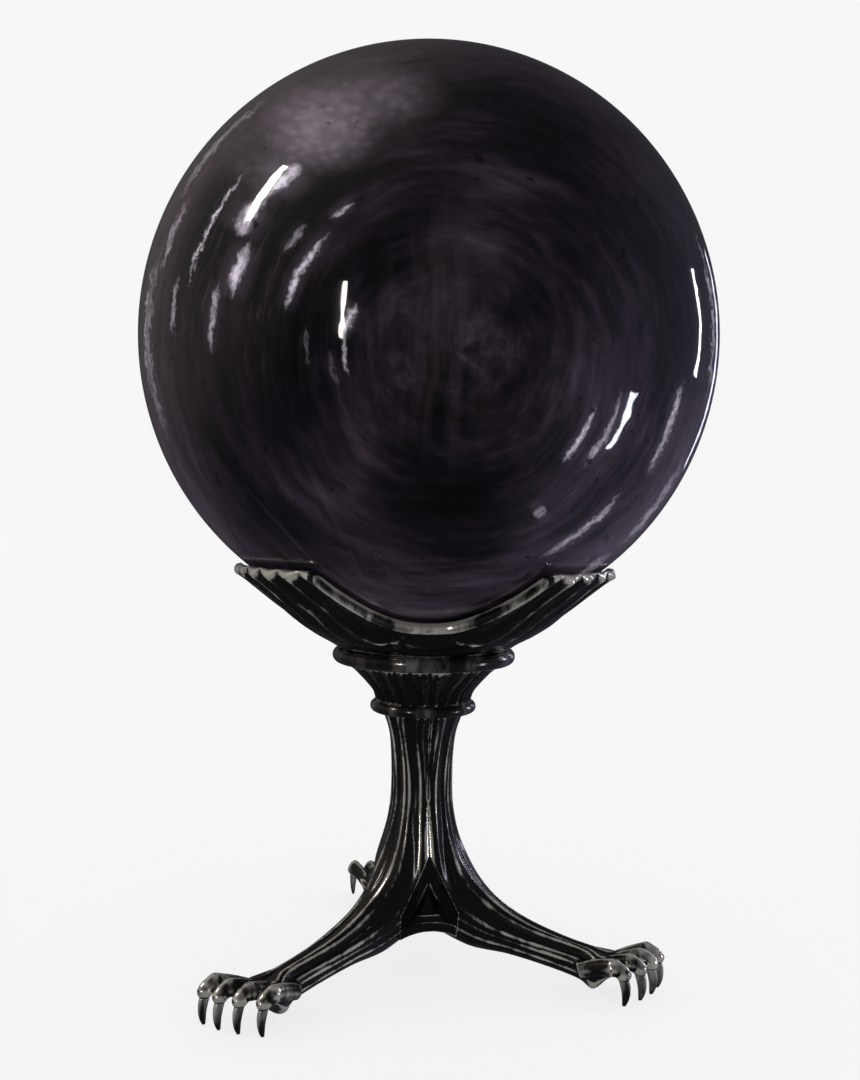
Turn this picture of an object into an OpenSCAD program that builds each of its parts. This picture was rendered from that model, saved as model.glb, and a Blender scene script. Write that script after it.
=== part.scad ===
// Crystal ball on a claw-foot stand.
// Frame: millimetres, origin on the floor under the ball, +Z up, -Y toward the viewer.
// The stand is a stack clamped by one rod: hub, three legs, lower collar, capital,
// upper collar, cup.  A loose felt ring lines the cup and the ball rests on it.

/* [Ball] */
// Radius of the glass ball
ball_r = 75; // [40:1:120]
// Thickness of the clear casing over the smoke glass core
casing_t = 4; // [2:0.5:10]
// Height of the ball's centre above the floor
ball_z = 166.5; // [120:0.5:260]

/* [Cup] */
// Gap between the ball and the bowl of the cup
bowl_gap = 0.8; // [0.4:0.1:2]
// Height of the flat underside of the cup
cup_floor_z = 86.3; // [60:0.1:160]
// Radius of that underside
cup_foot_r = 22.6; // [14:0.1:40]
// Opening angle of the bowl at a wing, from straight down
wing_angle = 39.8; // [30:1:60]
// Opening angle of the bowl at the dips between the wings
dip_angle = 19.5; // [18:0.5:30]
// Half of the arc over which a wing keeps its full height
wing_half = 26; // [15:1:35]
// Turn of the cup on the rod against the legs
cup_turn = -11; // [-60:1:60]
// Wall of the wing at its lip
lip_t = 1.9; // [1:0.1:4]
// Ribs on each wing
wing_ribs = 6; // [2:1:8]
// Depth of the wing ribs
wing_rib_d = 0.9; // [0:0.1:2]

/* [Collars and capital] */
// Outer radius of the upper collar
upper_r = 24.3; // [18:0.1:40]
// Half thickness of the upper collar
upper_t = 2.0; // [1:0.1:4]
// Outer radius of the lower collar
lower_r = 14.1; // [10:0.1:20]
// Half thickness of the lower collar
lower_t = 1.5; // [1:0.1:3]
// Flutes around the capital
capital_flutes = 24; // [12:1:36]
// Depth of the capital's flutes
flute_d = 0.55; // [0:0.05:1.5]

/* [Legs] */
// Direction of the first leg, in degrees from +X
leg_turn = -17; // [-60:1:60]
// Height of the shoulder where the legs meet the lower collar
stem_z = 69.2; // [50:0.1:120]
// Ribs on each leg, one for each toe
leg_ribs = 4; // [2:1:6]
// Depth of the ribs
leg_rib_d = 0.5; // [0:0.05:1]

/* [Feet] */
// Distance between the toes, side to side
toe_pitch = 4.9; // [4.2:0.1:6]
// How far the two outer toes stand back from the inner ones
toe_back = 1.2; // [0:0.1:5]
// How far each toe stands ahead of the one beside it
toe_skew = 2.2; // [0:0.1:3]
// Height of the ends of the toes, where the claws come out
toe_end_z = 6.6; // [4:0.1:8]
// Radius of a claw at its root
claw_r = 1.25; // [0.8:0.1:1.8]
// Radius of the blunt claw tip
claw_tip_r = 0.4; // [0.3:0.02:0.8]

/* [Webs between the legs] */
// Height of the point of the web
web_top = 34.5; // [28:0.5:40]
// Half width of the web at its foot
web_half = 7.6; // [6:0.1:10]
// Height of the crown of the arch under the web
arch_z = 13.2; // [8:0.1:15]
// Thickness of the arched rail
rail_t = 2.6; // [2:0.1:5]

/* [Rod, nuts and hub] */
// Radius of the clamping rod
rod_r = 3; // [2:0.5:4]
// Radius of the hub under the legs
hub_r = 7.5; // [6:0.1:10]

/* [Felt ring] */
// Inner radius of the felt ring
felt_in = 12; // [10:0.5:16]
// Outer radius of the felt ring
felt_out = 20; // [17:0.5:26]
// Thickness of the felt
felt_t = 1.5; // [0.8:0.1:3]

/* [View] */
// Which piece to draw

/* [Hidden] */
$fn = 96;

left_az = leg_turn - 120;
right_az = leg_turn;
back_az = leg_turn + 120;
core_gap = 0.02;                         // bond line between casing and core
fit = 0.1;                               // running clearance in every bore
bowl_r = ball_r + bowl_gap;
felt_gap = 0.25;                         // felt to ball, and felt to cup
felt_r0 = ball_r + felt_gap;
felt_r1 = felt_r0 + felt_t;
upper_z = cup_floor_z - upper_t;         // middle of the upper collar
capital_z0 = stem_z + 2 * lower_t;
capital_z1 = cup_floor_z - 2 * upper_t;
neck_r = 7;                              // neck the three legs form together
neck_up = 3.2;                           // how far the neck enters the capital
spigot_r = 9;                            // spigot under the cup
spigot_down = 6;
sector = 59.7;                           // half of the 120 degree share of a leg
arc_knee = 112;                          // section angle where the ribbed arc ends
washer_r = 6;
nut_r = 5.77;                            // across corners of the hexagon, halved
washer_t = 0.8;
thin_nut_t = 3.2;
nut_t = 5;
top_seat_z = cup_floor_z - 0.3;          // where the top washer sits in the cup
hub_z0 = 12.6;
hub_z1 = 20.5;
hub_recess = 2;                          // roof of the hub over the bottom washer
key_r0 = 4.6;                            // ring on the hub that keys the legs
key_r1 = 5.8;
key_up = 2.5;
web_x0 = 7.8;
web_x1 = 10.2;
web_recess = 1.3;
window_half = 7.6;                       // opening between two legs, over the arch
window_z = 18;
rail_proud = 0.6;                        // how far the rail stands out of the web
arch_r = 16;
tang_r = 0.8;
tang_up = 2.1;
toe_x = 60.3;                            // distance of the claw roots from the axis

// Stations down a leg: top edge (r, z), under edge (r, z), half width, roundness.
// Roundness 0 is a share of the round stem and 1 is an oval limb.
LEG = [[10.9, stem_z, 0, stem_z, 8, 0], [8.9, 63, 0, 63, 8, 0], [8.3, 54, 0, 54, 8, 0],
       [8.6, 44, 0, 43, 8, 0], [10.8, 35, 0, 30, 7.5, 0.2], [15.4, 27, 1.5, 15, 6.8, 0.8],
       [21.6, 21, 12.5, 8.3, 5.6, 1], [29.5, 16.4, 25, 6.9, 5, 1],
       [38.5, 13.2, 36, 4.8, 4.5, 1], [45.5, 11.5, 43.5, 2.8, 4.6, 1],
       [48.8, 10.8, 47.4, 0.9, 6.2, 1], [51.6, 10.1, 51.2, 4.4, 7.2, 1], [53.4, 9.2, 53.4, 6, 6.8, 1]];
// Stations down a toe: distance, height, radius.
TOE = [[48.5, 6.4, 1.9], [53.4, 8.2, 2.15], [57.2, 9.1, 2.15], [59.4, 8.7, 1.9],
       [60.2, 7.7, 2], [toe_x, toe_end_z, 1.5]];
// Stations down a claw: distance past its root, height as a share, radius as a share.
CLAW = [[0, 0.99, 1], [0.45, 0.75, 0.95], [0.65, 0.45, 0.7], [0.5, 0.2, 0.42], [0.2, 0, 0]];
// Outer face of a wing: angle from straight down, distance from the ball's centre.
WING = [[15.6, 83.26], [18, 82.4], [21.5, 81.3], [24.7, 80.3], [28, 79.1],
        [34, 78.1], [wing_angle, bowl_r + lip_t]];
// Outer face of the capital: share of its height, radius.
CAPITAL = [[0, 12.7], [0.25, 13.5], [0.52, 15.6], [0.78, 18.1], [1, 20.4]];

// ---- small helpers ----
function mix(a, b, t) = a + (b - a) * t;
function clip(t) = max(0, min(1, t));
// smooth curve through the rows of a table, t in steps of one row
function row(p, i) = p[max(0, min(len(p) - 1, i))];
function through(p, t) =
    let (i = min(floor(t), len(p) - 2), u = t - i,
         a = row(p, i - 1), b = row(p, i), c = row(p, i + 1), d = row(p, i + 2))
    0.5 * (2 * b + (c - a) * u + (2 * a - 5 * b + 4 * c - d) * u * u
           + (3 * b - a - 3 * c + d) * u * u * u);
// straight interpolation in a table of [key, value]
function look(p, k, i = 0) =
    i >= len(p) - 2 || k <= p[i + 1][0]
    ? mix(p[i][1], p[i + 1][1], (k - p[i][0]) / (p[i + 1][0] - p[i][0]))
    : look(p, k, i + 1);
// skin over a list of equal rings of points, closed by the first and last ring
module skin(rings) {
    n = len(rings[0]);
    m = len(rings);
    polyhedron(points = [for (r = rings) each r],
        faces = concat([[for (i = [0:n - 1]) i], [for (i = [n - 1:-1:0]) (m - 1) * n + i]],
            [for (j = [0:m - 2], i = [0:n - 1]) let (k = (i + 1) % n)
                each [[j * n + i, (j + 1) * n + i, j * n + k],
                      [j * n + k, (j + 1) * n + i, (j + 1) * n + k]]]));
}
module bore(r, z0, z1) { translate([0, 0, z0]) cylinder(r = r, h = z1 - z0); }

// ---- ball and felt ----
module glass_casing() color([0.36, 0.3, 0.44, 0.4]) translate([0, 0, ball_z])
    difference() { sphere(r = ball_r); sphere(r = ball_r - casing_t); }

module smoke_core() color([0.12, 0.1, 0.14]) translate([0, 0, ball_z])
    sphere(r = ball_r - casing_t - core_gap);

module seat_felt() color([0.16, 0.13, 0.2]) translate([0, 0, ball_z]) difference() {
    intersection() {
        sphere(r = felt_r1);
        bore(felt_out, -felt_r1, -ball_r / 2);
    }
    sphere(r = felt_r0);
    bore(felt_in, -2 * ball_r, 0);
}

// ---- cup ----
// how far a direction lies from the middle of the nearest wing
function off_wing(a) = abs(((a % 120) + 180) % 120 - 60);
function rim_angle(a) =
    mix(dip_angle, wing_angle, pow(1 - clip((off_wing(a) - wing_half) / (60 - wing_half)), 3));
function wing_rib(a) =
    wing_rib_d / 2 * clip((wing_half + 6 - off_wing(a)) / 6)
    * cos(180 * wing_ribs * (off_wing(a) / wing_half + 1));
// the wall thins to the lip along the whole rim, in the dips as well
function rim_spare(a) = look(WING, rim_angle(a)) - bowl_r - lip_t;
function polar(a, t, r) = [r * sin(t) * cos(a), r * sin(t) * sin(a), ball_z - r * cos(t)];
function cup_ring(k, rows, steps, inside) = [for (i = [0:steps - 1])
    let (a = 360 * i / steps, u = k / rows, t0 = inside ? 4.6 : WING[0][0],
         t = mix(t0, rim_angle(a), u))
    polar(a, t, inside ? bowl_r
          : look(WING, t) - rim_spare(a) * pow(u, 1.5) + wing_rib(a) * min(1, 3 * u))];
module cup() color([0.09, 0.09, 0.085]) rotate([0, 0, leg_turn + cup_turn]) difference() {
    union() {
        skin([for (k = [0:9]) cup_ring(k, 9, 120, false), for (k = [8:-1:0]) cup_ring(k, 8, 120, true)]);
        bore(spigot_r, cup_floor_z - spigot_down, cup_floor_z + 1);
    }
    bore(rod_r + fit, 0, ball_z);
    bore(washer_r + 0.4, top_seat_z, ball_z);
    translate([0, 0, ball_z]) difference() {
        intersection() {
            sphere(r = felt_r1 + felt_gap);
            bore(felt_out + 0.3, -2 * ball_r, -ball_r / 2);
        }
        bore(felt_in - 0.3, -2 * ball_r, 0);
    }
}

// ---- collars and capital ----
module collar(r, t, z, hole) translate([0, 0, z]) rotate_extrude() difference() {
    union() {
        translate([hole, -t]) square([r - t - hole, 2 * t]);
        translate([r - t, 0]) circle(r = t);
    }
    translate([hole - 2 * t, -t]) square([2 * t, 2 * t]);
}
module upper_collar() color([0.1, 0.1, 0.1]) collar(upper_r, upper_t, upper_z, spigot_r + fit);
module lower_collar() color([0.1, 0.1, 0.1])
    collar(lower_r, lower_t, stem_z + lower_t, neck_r + fit);

module capital() color([0.08, 0.08, 0.075]) difference() {
    skin([for (k = [0:6]) let (u = k / 6) [for (i = [0:95]) let (a = 360 * i / 96,
        r = look(CAPITAL, u) - flute_d * (0.5 - 0.5 * cos(capital_flutes * a)))
        [r * cos(a), r * sin(a), mix(capital_z0, capital_z1, u)]]]);
    bore(rod_r + fit, 0, ball_z);
    bore(neck_r + fit, 0, capital_z0 + neck_up + fit);
    bore(spigot_r + fit, cup_floor_z - spigot_down - fit, ball_z);
}

// ---- legs ----
function leg_ring(s, steps) =
    let (top = [s[0], s[1]], under = [s[2], s[3]], reach = norm(top - under),
         e = (top - under) / reach, end = reach * [cos(sector + 4), sin(sector + 4)])
    [for (i = [0:steps - 1])
        let (th = 360 * i / steps - 180, a = abs(th), phi = th / arc_knee * (sector + 4),
             share = a <= arc_knee ? reach * [cos(phi), sin(phi)]
                   : [end[0], sign(th) * end[1]] * (1 - (a - arc_knee) / (180 - arc_knee)),
             oval = [reach / 2 * (1 + cos(th)), s[4] * sin(th)],
             push = mix(phi, th, s[5]),
             rib = a > arc_knee ? 0 : -leg_rib_d * (0.5 + 0.5 * cos(180 * leg_ribs * (th / arc_knee + 1))),
             q = mix(share, oval, s[5]) + rib * [cos(push), sin(push)])
        [under[0] + q[0] * e[0], -q[1], under[1] + q[0] * e[1]]];
module limb() skin([for (k = [0:2 * (len(LEG) - 1)]) leg_ring(through(LEG, k / 2), 36)]);

function toe_side(n) = (n - 2.5) * toe_pitch;
// the left foot is the mirror image (hand -1) of the other two (hand 1)
function toe_set(n, hand) = hand * (n - 2.5) * toe_skew - (abs(n - 2.5) > 1 ? toe_back : 0);
module toe(n, hand) skin([for (k = [0:2 * (len(TOE) - 1)])
    let (u = k / 2, s = through(TOE, u), d = through(TOE, min(len(TOE) - 1, u + 0.1))
         - through(TOE, max(0, u - 0.1)), e = [d[0], d[1]] / norm([d[0], d[1]]),
         y = toe_side(n) * mix(0.62, 1, clip(u / 2)), x = s[0] + toe_set(n, hand))
    [for (i = [0:9]) let (t = 36 * i)
        [x - s[2] * cos(t) * e[1], y - s[2] * sin(t), s[1] + s[2] * cos(t) * e[0]]]]);

module leg(az, hand = 1) color([0.08, 0.08, 0.075]) rotate([0, 0, az]) difference() {
    resize([0, 0, 0]) intersection() {
        union() {
            limb();
            for (n = [1:4]) toe(n, hand);
            bore(neck_r, stem_z - 8, capital_z0 + neck_up);
        }
        translate([0, 0, -1]) linear_extrude(90)
            polygon([[0, 0], 150 * [cos(sector), -sin(sector)], 150 * [cos(sector), sin(sector)]]);
    }
    bore(rod_r + fit, -1, ball_z);
    bore(hub_r + fit, -1, hub_z1 + 0.05);
    difference() {
        bore(key_r1 + fit, hub_z1 - 1, hub_z1 + key_up + 0.2);
        bore(key_r0 - fit, hub_z1 - 2, hub_z1 + key_up + 1);
    }
    for (side = [-60, 60]) rotate([0, 0, side]) {
        web_block(0.05);
        stand_up(web_x1 + 0.05, 2.5 * web_x1) polygon([[0, web_top - 1], [-window_half, window_z],
            [-window_half, arch_z], [window_half, arch_z], [window_half, window_z]]);
    }
    for (n = [1:4]) translate([toe_x + toe_set(n, hand), toe_side(n), 0])
        bore(tang_r + 0.02, toe_end_z - 2, toe_end_z + tang_up + 0.1);
}
module left_leg() leg(left_az, -1);
module right_leg() leg(right_az);
module back_leg() leg(back_az);

// ---- claws ----
module claw(az, n, hand = 1) color([0.13, 0.13, 0.12]) rotate([0, 0, az])
    translate([toe_x + toe_set(n, hand), toe_side(n), 0]) {
        skin([for (k = [0:2 * (len(CLAW) - 1)]) let (s = through(CLAW, k / 2),
            r = mix(claw_tip_r, claw_r, s[2]))
            [for (i = [0:9]) [s[0] + r * cos(36 * i), -r * sin(36 * i),
                              k == 2 * (len(CLAW) - 1) ? 0 : s[1] * toe_end_z]]]);
        bore(tang_r, toe_end_z / 2, toe_end_z + tang_up);
    }
module left_claw_1() claw(left_az, 1, -1);
module left_claw_2() claw(left_az, 2, -1);
module left_claw_3() claw(left_az, 3, -1);
module left_claw_4() claw(left_az, 4, -1);
module right_claw_1() claw(right_az, 1);
module right_claw_2() claw(right_az, 2);
module right_claw_3() claw(right_az, 3);
module right_claw_4() claw(right_az, 4);
module back_claw_1() claw(back_az, 1);
module back_claw_2() claw(back_az, 2);
module back_claw_3() claw(back_az, 3);
module back_claw_4() claw(back_az, 4);

// ---- webs ----
// flat outlines are drawn as (side, height) and stood up facing outward along +X
module stand_up(x0, x1) translate([x0, 0, 0]) rotate([90, 0, 90]) linear_extrude(x1 - x0)
    children();
module arch_line(up, grow) difference() {
    intersection() {
        translate([0, arch_z - arch_r]) circle(r = arch_r + up + grow);
        translate([-web_half - grow, 0]) square([2 * (web_half + grow), web_top]);
    }
    translate([0, arch_z - arch_r]) circle(r = arch_r - grow);
}
module web_outline(grow) difference() {
    polygon([[0, web_top + 3 * grow], [-web_half - grow, arch_z + rail_t / 2],
             [-web_half - grow, arch_z - rail_t], [web_half + grow, arch_z - rail_t],
             [web_half + grow, arch_z + rail_t / 2]]);
    translate([0, arch_z - arch_r]) circle(r = arch_r - grow);
}
module web_block(grow) {
    stand_up(web_x0 - grow, web_x1 + grow) web_outline(grow);
    stand_up(web_x0 - grow, web_x1 + rail_proud + grow) arch_line(rail_t, grow);
}
module web(az) color([0.07, 0.07, 0.065]) rotate([0, 0, az]) difference() {
    web_block(0);
    stand_up(web_x1 - web_recess, web_x1 + 4)
        polygon([[0, 25.8], [-4, arch_z + rail_t + 1.6], [4, arch_z + rail_t + 1.6]]);
}
module front_web() web(leg_turn - 60);
module right_web() web(leg_turn + 60);
module left_web() web(leg_turn + 180);

// ---- hub, rod and nuts ----
module base_hub() color([0.3, 0.3, 0.3]) difference() {
    union() {
        bore(hub_r, hub_z0, hub_z1);
        bore(key_r1, hub_z1 - 1, hub_z1 + key_up);
    }
    bore(key_r0, hub_z1, hub_z1 + key_up + 1);
    bore(rod_r + fit, 0, ball_z);
    bore(washer_r + 0.2, 0, hub_z1 - hub_recess);
}
bottom_seat_z = hub_z1 - hub_recess;
module tie_rod() color([0.6, 0.6, 0.62])
    bore(rod_r, bottom_seat_z - washer_t - nut_t - 0.6, top_seat_z + washer_t + thin_nut_t + 0.3);
module ring_washer(z) color([0.65, 0.65, 0.67]) difference() {
    bore(washer_r, z, z + washer_t);
    bore(rod_r + fit, z - 1, z + washer_t + 1);
}
module hex_nut(z, t) color([0.6, 0.6, 0.62]) difference() {
    translate([0, 0, z]) cylinder(r = nut_r, h = t, $fn = 6);
    bore(rod_r + 0.02, z - 1, z + t + 1);
}
module bottom_washer() ring_washer(bottom_seat_z - washer_t);
module bottom_nut() hex_nut(bottom_seat_z - washer_t - nut_t, nut_t);
module top_washer() ring_washer(top_seat_z);
module top_nut() hex_nut(top_seat_z + washer_t, thin_nut_t);

glass_casing();
smoke_core();
seat_felt();
cup();
upper_collar();
capital();
lower_collar();
left_leg();
right_leg();
back_leg();
left_claw_1();
left_claw_2();
left_claw_3();
left_claw_4();
right_claw_1();
right_claw_2();
right_claw_3();
right_claw_4();
back_claw_1();
back_claw_2();
back_claw_3();
back_claw_4();
front_web();
right_web();
left_web();
base_hub();
tie_rod();
bottom_washer();
bottom_nut();
top_washer();
top_nut();
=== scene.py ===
"""Crystal ball on a claw-foot stand: the looks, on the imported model's frame, in metres."""

import math

import bmesh
import bpy
import numpy as np
from mathutils import Matrix, Vector


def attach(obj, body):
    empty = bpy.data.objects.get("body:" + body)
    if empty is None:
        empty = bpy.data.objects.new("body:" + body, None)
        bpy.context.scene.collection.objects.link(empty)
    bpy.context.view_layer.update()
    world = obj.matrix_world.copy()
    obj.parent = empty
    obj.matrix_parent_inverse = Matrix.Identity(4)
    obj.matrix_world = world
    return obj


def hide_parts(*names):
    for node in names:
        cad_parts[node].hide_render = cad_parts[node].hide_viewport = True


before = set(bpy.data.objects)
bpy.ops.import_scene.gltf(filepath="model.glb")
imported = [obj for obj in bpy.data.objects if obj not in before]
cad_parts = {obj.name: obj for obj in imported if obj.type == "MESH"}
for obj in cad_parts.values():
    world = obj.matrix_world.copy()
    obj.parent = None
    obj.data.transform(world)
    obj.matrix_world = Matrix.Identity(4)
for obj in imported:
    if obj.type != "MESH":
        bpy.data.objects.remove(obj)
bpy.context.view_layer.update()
MM = 0.001

# ---- sizes in millimetres, as in the CAD source, but with ribs and flutes cut deeper ----
BALL_R, CASING_T, BALL_Z = 75.0, 4.0, 166.5
BOWL_R = 75.8
CUP_FLOOR_Z, WING_ANGLE, DIP_ANGLE, WING_HALF = 86.3, 39.8, 19.5, 26.0
LEG_TURN, CUP_TURN = -17.0, -11.0
LIP_T, WING_RIBS, WING_RIB_D = 1.9, 6, 1.15
UPPER_R, UPPER_T, LOWER_R, LOWER_T = 24.3, 2.0, 14.1, 1.5
STEM_Z, LEG_RIBS, LEG_RIB_D = 69.2, 4, 0.75
TOE_PITCH, TOE_BACK, TOE_SKEW, TOE_END_Z, TOE_X = 4.9, 1.2, 2.2, 6.6, 60.3
CLAW_R, CLAW_TIP_R, TANG_R, TANG_UP = 1.25, 0.4, 0.8, 2.1
SECTOR, ARC_KNEE = 59.7, 112.0
HUB_R, HUB_Z1, KEY_R0, KEY_R1, KEY_UP = 7.5, 20.5, 4.6, 5.8, 2.5
ARCH_Z, ARCH_R, RAIL_T, RAIL_PROUD, WEB_TOP, WEB_HALF = 13.2, 16.0, 2.6, 0.6, 34.5, 7.6
WEB_X0, WEB_X1, WINDOW_HALF, WINDOW_Z = 7.8, 10.2, 7.6, 18.0
ROD_R, FIT, NECK_R, NECK_UP, SPIGOT_R, SPIGOT_DOWN = 3.0, 0.1, 7.0, 3.2, 9.0, 6.0
WASHER_R, TOP_SEAT_Z = 6.0, CUP_FLOOR_Z - 0.3
PANEL_TOP, PANEL_HALF, PANEL_UP, WEB_RECESS = 25.8, 4.0, 1.6, 1.3
CAPITAL_Z0, CAPITAL_Z1 = STEM_Z + 2 * LOWER_T, CUP_FLOOR_Z - 2 * UPPER_T
FLUTES, FLUTE_D = 24, 0.85
FELT_R0, FELT_R1, FELT_IN, FELT_OUT = 75.25, 76.75, 12.0, 20.0
FELT_MID, FELT_SEAT_R, FELT_GAP = (FELT_R0 + FELT_R1) / 2, 77.0, 0.3
# the smoky core is this much larger than the hollow of the clear layer, so that no air shows
CORE_PRESS = 0.04
LEG = [[10.9, 69.2, 0, 69.2, 8, 0], [8.9, 63, 0, 63, 8, 0], [8.3, 54, 0, 54, 8, 0],
       [8.6, 44, 0, 43, 8, 0], [10.8, 35, 0, 30, 7.5, 0.2], [15.4, 27, 1.5, 15, 6.8, 0.8],
       [21.6, 21, 12.5, 8.3, 5.6, 1], [29.5, 16.4, 25, 6.9, 5, 1],
       [38.5, 13.2, 36, 4.8, 4.5, 1], [45.5, 11.5, 43.5, 2.8, 4.6, 1],
       [48.8, 10.8, 47.4, 0.9, 6.2, 1], [51.6, 10.1, 51.2, 4.4, 7.2, 1], [53.4, 9.2, 53.4, 6, 6.8, 1]]
TOE = [[48.5, 6.4, 1.9], [53.4, 8.2, 2.15], [57.2, 9.1, 2.15], [59.4, 8.7, 1.9],
       [60.2, 7.7, 2], [TOE_X, TOE_END_Z, 1.5]]
CLAW = [[0, 0.99, 1], [0.45, 0.75, 0.95], [0.65, 0.45, 0.7], [0.5, 0.2, 0.42], [0.2, 0, 0]]
WING = [[15.6, 83.26], [18, 82.4], [21.5, 81.3], [24.7, 80.3], [28, 79.1],
        [34, 78.1], [WING_ANGLE, BOWL_R + LIP_T]]
CAPITAL = [[0, 12.7], [0.25, 13.5], [0.52, 15.6], [0.78, 18.1], [1, 20.4]]


# ---- camera: fitted to the photograph's view ----
def make_camera():
    data = bpy.data.cameras.new("camera")
    data.lens, data.sensor_width = 39.5, 36.0
    cam = bpy.data.objects.new("camera", data)
    bpy.context.scene.collection.objects.link(cam)
    turn = (Matrix.Rotation(math.radians(-0.21), 4, "Z") @ Matrix.Rotation(math.radians(88.45), 4, "X")
            @ Matrix.Rotation(math.radians(0.96), 4, "Z"))
    cam.matrix_world = Matrix.Translation((0, -0.3157, 0.1234)) @ turn
    data.clip_start, data.clip_end = 0.01, 20
    bpy.context.scene.camera = cam


make_camera()


# ---- shape helpers ----
def sind(a):
    return math.sin(math.radians(a))


def cosd(a):
    return math.cos(math.radians(a))


def mix(a, b, t):
    return a + (b - a) * t


def clip(t):
    return max(0.0, min(1.0, t))


def through(rows, t):
    """Smooth curve through the rows of a table, t in steps of one row."""
    p = np.asarray(rows, float)
    i = min(int(t), len(p) - 2)
    u = t - i
    a, b, c, d = (p[max(0, min(len(p) - 1, i + k))] for k in (-1, 0, 1, 2))
    return 0.5 * (2 * b + (c - a) * u + (2 * a - 5 * b + 4 * c - d) * u * u
                  + (3 * b - a - 3 * c + d) * u ** 3)


def smooth_look(rows, key):
    """Smooth value at key in a table of (key, value)."""
    for i in range(len(rows) - 1):
        if key <= rows[i + 1][0] or i == len(rows) - 2:
            u = (key - rows[i][0]) / (rows[i + 1][0] - rows[i][0])
            return float(through(rows, i + clip(u))[1])


def skin(name, rings):
    """A closed mesh over equal rings of points in millimetres."""
    n, m = len(rings[0]), len(rings)
    bm = bmesh.new()
    vs = [[bm.verts.new(Vector(p) * MM) for p in ring] for ring in rings]
    for j in range(m - 1):
        for i in range(n):
            k = (i + 1) % n
            bm.faces.new((vs[j][i], vs[j][k], vs[j + 1][k], vs[j + 1][i]))
    for ring in (vs[0][::-1], vs[-1]):
        bm.faces.new(ring)
    bmesh.ops.recalc_face_normals(bm, faces=bm.faces)
    return from_bmesh(name, bm)


def from_bmesh(name, bm):
    mesh = bpy.data.meshes.new(name)
    bm.to_mesh(mesh)
    bm.free()
    obj = bpy.data.objects.new(name, mesh)
    bpy.context.scene.collection.objects.link(obj)
    return obj


def lathe(name, outline, steps=192):
    """A closed ring or solid turned about Z from a closed outline of (radius, height)."""
    bm = bmesh.new()
    cols = []
    for i in range(steps):
        a = 2 * math.pi * i / steps
        cols.append([bm.verts.new((r * math.cos(a) * MM, r * math.sin(a) * MM, z * MM))
                     for r, z in outline])
    n = len(outline)
    for i in range(steps):
        for j in range(n):
            k, q = (i + 1) % steps, (j + 1) % n
            bm.faces.new((cols[i][j], cols[k][j], cols[k][q], cols[i][q]))
    bmesh.ops.recalc_face_normals(bm, faces=bm.faces)
    return from_bmesh(name, bm)


def apply(obj):
    """Replaces obj's mesh by what its modifiers make of it."""
    deps = bpy.context.evaluated_depsgraph_get()
    made = bpy.data.meshes.new_from_object(obj.evaluated_get(deps))
    obj.modifiers.clear()
    obj.data = made
    return obj


def remesh(obj, size):
    m = obj.modifiers.new("remesh", "REMESH")
    m.mode, m.voxel_size = "VOXEL", size * MM
    return apply(obj)


def relax(obj, factor, times):
    m = obj.modifiers.new("relax", "SMOOTH")
    m.factor, m.iterations = factor, times
    return apply(obj)


def cut(obj, tools):
    """Cuts the tools out of obj and removes them."""
    for tool in tools:
        m = obj.modifiers.new("cut", "BOOLEAN")
        m.operation, m.solver, m.object = "DIFFERENCE", "MANIFOLD", tool
        apply(obj)
        bpy.data.objects.remove(tool)
    return obj


def weld(obj, other):
    """Joins other onto obj as one solid and removes it."""
    m = obj.modifiers.new("weld", "BOOLEAN")
    m.operation, m.solver, m.object = "UNION", "MANIFOLD", other
    apply(obj)
    bpy.data.objects.remove(other)
    return obj


def join(objs):
    """One object from several closed ones, left overlapping for a remesh."""
    bm = bmesh.new()
    for o in objs:
        bm.from_mesh(o.data)
    for o in objs[1:]:
        bpy.data.objects.remove(o)
    bm.to_mesh(objs[0].data)
    bm.free()
    return objs[0]


def bore(r, z0, z1, x=0.0, y=0.0, steps=64):
    """An upright cylinder."""
    ring = [[(x + r * cosd(360 * i / steps), y + r * sind(360 * i / steps), z) for i in range(steps)]
            for z in (z0, z1)]
    return skin("tool", ring)


def prism(points, x0, x1):
    """An outline of (side, height) stood up facing +X, from x0 to x1."""
    return skin("tool", [[(x, y, z) for y, z in points] for x in (x0, x1)])


def turned(obj, degrees):
    obj.data.transform(Matrix.Rotation(math.radians(degrees), 4, "Z"))
    return obj


def soft_edges(obj, width, angle=40):
    """Rounds the sharp edges."""
    m = obj.modifiers.new("bevel", "BEVEL")
    m.width, m.segments, m.limit_method, m.angle_limit = width * MM, 3, "ANGLE", math.radians(angle)
    return apply(obj)


def shade(obj, angle=45):
    mesh = obj.data
    mesh.polygons.foreach_set("use_smooth", [True] * len(mesh.polygons))
    mesh.set_sharp_from_angle(angle=math.radians(angle))


RIDGE_PERCENTILE = 93


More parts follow.
